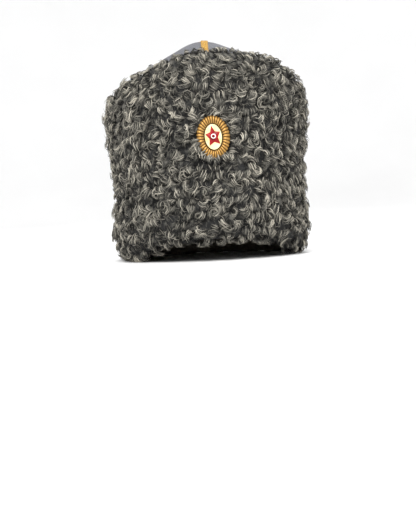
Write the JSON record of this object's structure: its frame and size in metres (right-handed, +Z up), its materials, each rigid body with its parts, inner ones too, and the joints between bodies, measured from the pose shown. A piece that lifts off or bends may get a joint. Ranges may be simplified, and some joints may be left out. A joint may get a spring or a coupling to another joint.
{
  "type": "karakul hat",
  "caption": "Tall grey karakul dress hat: curled pelt wall, domed cloth crown with crossed gold braids, and an oval rayed cockade with a red star.",
  "frame": {"origin": "middle of the footprint, on the plane that the rim rests on", "axes": "+Z up through the crown, -Y out of the front where the cockade sits, +X to the right of someone facing the hat"},
  "size_m": [0.2114, 0.238, 0.2247],
  "materials": {
    "pile": "curled lamb pile, soft sheen on dark skin",
    "cloth": "milled wool cloth, matt with a fine nap",
    "braid": "ribbed braid of gilt thread",
    "plate": "stamped and gilt, worn bright on the rays",
    "enamel": "glossy cream enamel",
    "star": "glossy red enamel",
    "boss": "glossy white enamel"
  },
  "bodies": {
    "root": {"karakul_wall": "pile", "crown_cloth": "cloth", "braid_crosswise": "braid", "braid_lengthwise": "braid", "cockade_plate": "plate", "cockade_enamel": "enamel", "cockade_star": "star", "cockade_boss": "boss"}
  },
  "joints": []
}
